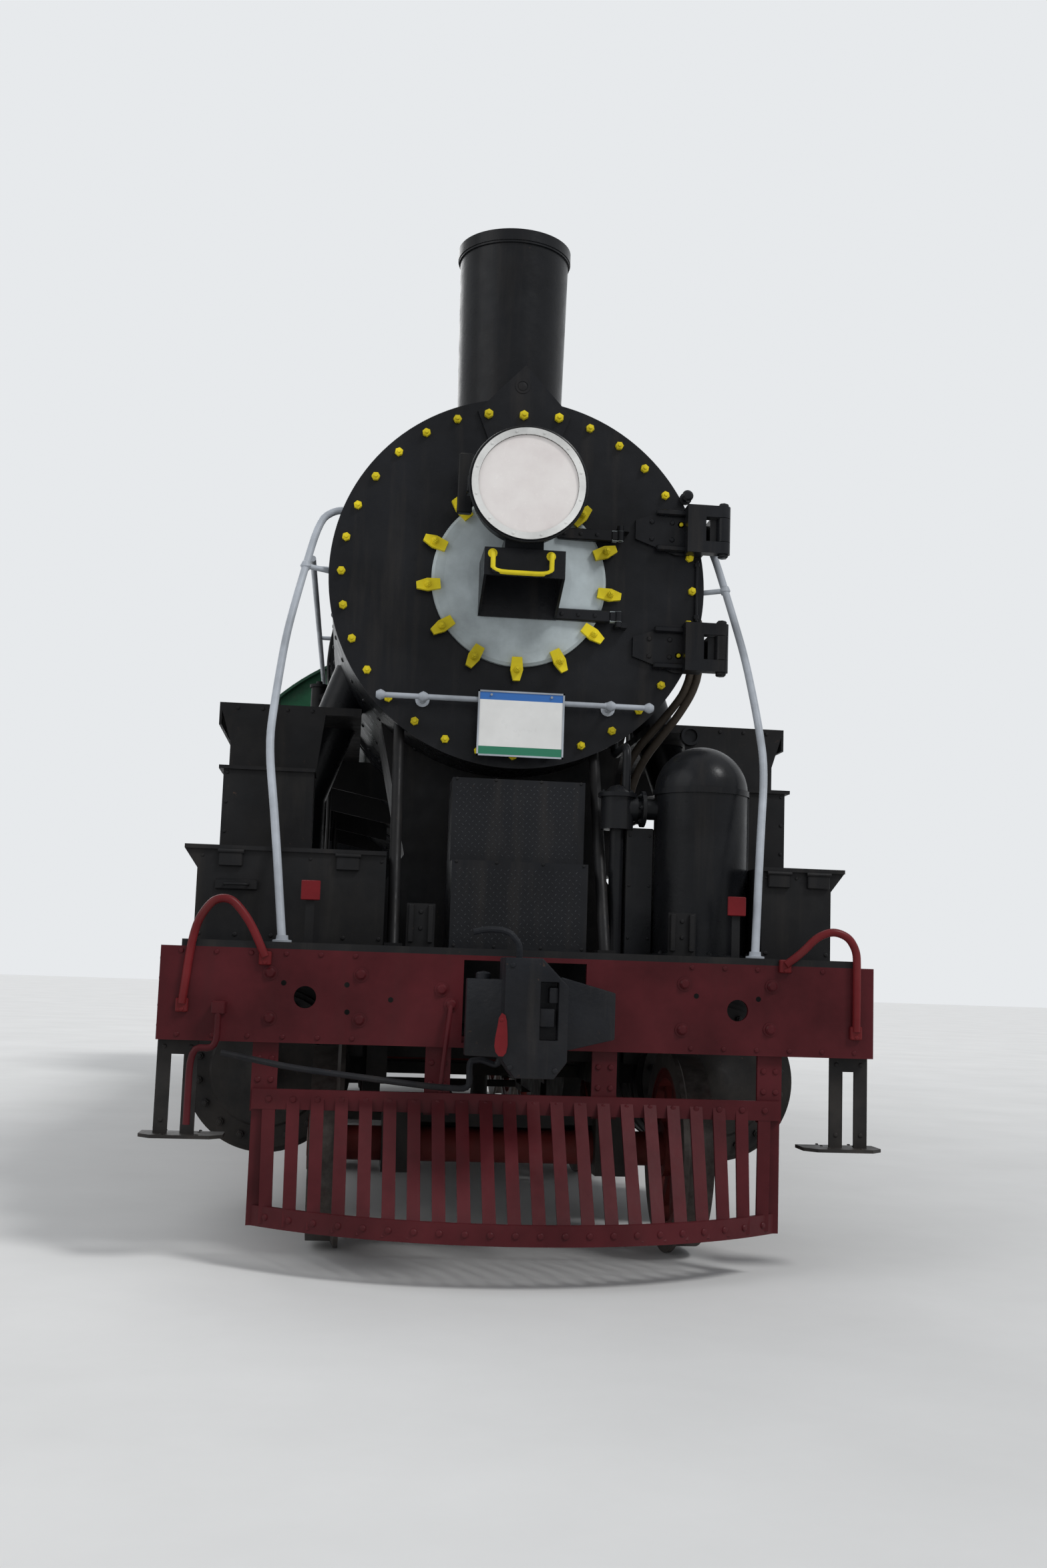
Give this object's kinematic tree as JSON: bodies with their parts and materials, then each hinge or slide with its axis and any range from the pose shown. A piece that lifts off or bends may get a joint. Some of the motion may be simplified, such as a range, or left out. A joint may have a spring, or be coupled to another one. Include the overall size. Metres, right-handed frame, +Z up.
{
  "type": "steam locomotive",
  "caption": "Ten-coupled freight steam locomotive without its tender, with a leading pony truck, hinged smokebox front, tall chimney and arched-roof cab.",
  "frame": {"origin": "on the floor under the middle of the overall length and width", "axes": "+Z up, the engine faces -Y, +X to the right seen from in front"},
  "size_m": [3.16, 12.4, 5.128],
  "materials": {
    "black_paint": "semi-gloss, weathered",
    "board_white": "satin with a blue band on top and a green band below",
    "boiler_black": "semi-gloss, weathered",
    "cab_green": "gloss",
    "clamp_yellow": "satin",
    "coupler_iron": "rough painted casting",
    "door_grey": "satin",
    "floor_wood": "worn planks",
    "hoop_red": "satin",
    "lamp_lens": "frosted",
    "lamp_shell": "satin",
    "plate_black": "semi-gloss",
    "rail_grey": "satin",
    "red_paint": "satin, chipped at the edges",
    "rod_steel": "oiled steel",
    "roof_dark": "matt",
    "wheel_red": "satin, dusty",
    "window_glass": "clear"
  },
  "bodies": {
    "frame": {"crossheads": "rod_steel", "main_rods": "rod_steel", "valve_gear": "rod_steel", "cylinders": "black_paint", "slide_bars": "rod_steel", "steam_pipes": "boiler_black", "main_frame": "black_paint", "suspension": "black_paint", "front_beam": "red_paint", "coupler": "coupler_iron", "pilot": "red_paint", "front_deck": "black_paint", "front_steps": "plate_black", "foot_stirrups": "black_paint", "hoop_handrails": "hoop_red", "pipe_handrails": "rail_grey", "uncoupling_lever": "red_paint", "front_boxes": "black_paint", "front_tank": "boiler_black", "lamp_posts": "black_paint", "rear_beam": "black_paint", "smokebox": "boiler_black", "smokebox_braces": "black_paint", "boiler_barrel": "boiler_black", "firebox": "boiler_black", "ashpan": "black_paint", "chimney": "boiler_black", "boiler_domes": "boiler_black", "boiler_fittings": "rod_steel", "boiler_rails": "rail_grey", "running_boards": "black_paint", "air_reservoirs": "black_paint", "cab_front": "cab_green", "cab_sides": "cab_green", "cab_roof": "roof_dark", "cab_floor": "floor_wood", "cab_steps": "black_paint", "cab_seats": "floor_wood", "cab_glass": "window_glass", "backhead_fittings": "rod_steel"},
    "front_plate": {"front_plate": "plate_black", "front_handrail": "rail_grey", "info_board": "board_white"},
    "inner_door": {"inner_door": "door_grey", "door_clamps": "clamp_yellow", "headlamp": "lamp_shell", "lamp_bracket": "plate_black", "lamp_glass": "lamp_lens"},
    "pony_truck": {"pony_truck": "black_paint"},
    "pony_wheels": {"pony_wheelset": "wheel_red"},
    "rod_right": {"coupling_rod_right": "rod_steel"},
    "rod_left": {"coupling_rod_left": "rod_steel"},
    "roof_hatch": {"roof_hatch": "roof_dark"},
    "driver_1": {"driving_wheelset_1": "wheel_red"},
    "driver_2": {"driving_wheelset_2": "wheel_red"},
    "driver_3": {"driving_wheelset_3": "wheel_red"},
    "driver_4": {"driving_wheelset_4": "wheel_red"},
    "driver_5": {"driving_wheelset_5": "wheel_red"}
  },
  "joints": [
    {"name": "drive_spin", "type": "hinge", "parent": "frame", "child": "driver_3", "pos_m": [0, 0.555, 0.688], "axis": [1, 0, 0], "continuous": true},
    {"name": "driver_1_spin", "type": "hinge", "parent": "frame", "child": "driver_1", "pos_m": [0, -2.29, 0.688], "axis": [1, 0, 0], "continuous": true},
    {"name": "driver_2_spin", "type": "hinge", "parent": "frame", "child": "driver_2", "pos_m": [0, -0.8675, 0.688], "axis": [1, 0, 0], "continuous": true},
    {"name": "driver_4_spin", "type": "hinge", "parent": "frame", "child": "driver_4", "pos_m": [0, 1.9775, 0.688], "axis": [1, 0, 0], "continuous": true},
    {"name": "driver_5_spin", "type": "hinge", "parent": "frame", "child": "driver_5", "pos_m": [0, 3.4, 0.688], "axis": [1, 0, 0], "continuous": true},
    {"name": "rod_right_turn", "type": "hinge", "parent": "driver_3", "child": "rod_right", "pos_m": [0.955, 0.555, 0.3325], "axis": [1, 0, 0], "continuous": true},
    {"name": "rod_left_turn", "type": "hinge", "parent": "driver_3", "child": "rod_left", "pos_m": [-0.955, 0.9105, 0.688], "axis": [1, 0, 0], "continuous": true},
    {"name": "truck_swing", "type": "hinge", "parent": "frame", "child": "pony_truck", "pos_m": [0, -3.63, 0.4605], "axis": [0, 0, 1], "range_deg": [-4.5, 4.5]},
    {"name": "pony_spin", "type": "hinge", "parent": "pony_truck", "child": "pony_wheels", "pos_m": [0, -5.08, 0.448], "axis": [1, 0, 0], "continuous": true},
    {"name": "plate_hinge", "type": "hinge", "parent": "frame", "child": "front_plate", "pos_m": [0.98, -4.93, 3.081], "axis": [0, 0, 1], "range_deg": [0, 90]},
    {"name": "door_hinge", "type": "hinge", "parent": "front_plate", "child": "inner_door", "pos_m": [0.478, -4.917, 3.081], "axis": [0, 0, 1], "range_deg": [0, 90]},
    {"name": "hatch_hinge", "type": "hinge", "parent": "frame", "child": "roof_hatch", "pos_m": [0, 4.548, 4.516], "axis": [1, 0, 0], "range_deg": [0, 60]}
  ],
  "couplings": [
    {"joint": "driver_1_spin", "follows": "drive_spin", "ratio": 1},
    {"joint": "driver_2_spin", "follows": "drive_spin", "ratio": 1},
    {"joint": "driver_4_spin", "follows": "drive_spin", "ratio": 1},
    {"joint": "driver_5_spin", "follows": "drive_spin", "ratio": 1},
    {"joint": "rod_right_turn", "follows": "drive_spin", "ratio": -1},
    {"joint": "rod_left_turn", "follows": "drive_spin", "ratio": -1}
  ]
}
